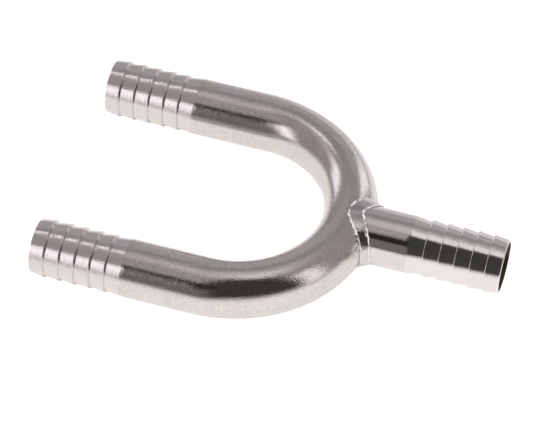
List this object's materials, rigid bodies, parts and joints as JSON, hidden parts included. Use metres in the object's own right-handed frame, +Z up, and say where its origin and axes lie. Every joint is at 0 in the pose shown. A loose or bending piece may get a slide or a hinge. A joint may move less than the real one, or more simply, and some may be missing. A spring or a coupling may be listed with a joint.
{
  "type": "tubing y connector",
  "caption": "Barbed hose Y connector: a U-shaped stainless tube with parallel barbed legs and a straight barbed stem welded to its crown.",
  "frame": {"origin": "bottom centre of the bounding box: the fitting lies flat, and its bend rests on z = 0", "axes": "+X along the stem to its free end, Y across the two legs, +Z up out of the plane of the U"},
  "size_m": [0.0996, 0.065, 0.0134],
  "materials": {
    "satin_steel": "satin bent tube, slightly grainy, with brighter turned barbs",
    "polished_steel": "polished tube with fine turning lines on its barbs",
    "weld_steel": "smooth glossy weld bead with fine ripples"
  },
  "bodies": {
    "root": {"u_tube": "satin_steel", "stem_tube": "polished_steel", "weld_bead": "weld_steel"}
  },
  "joints": []
}
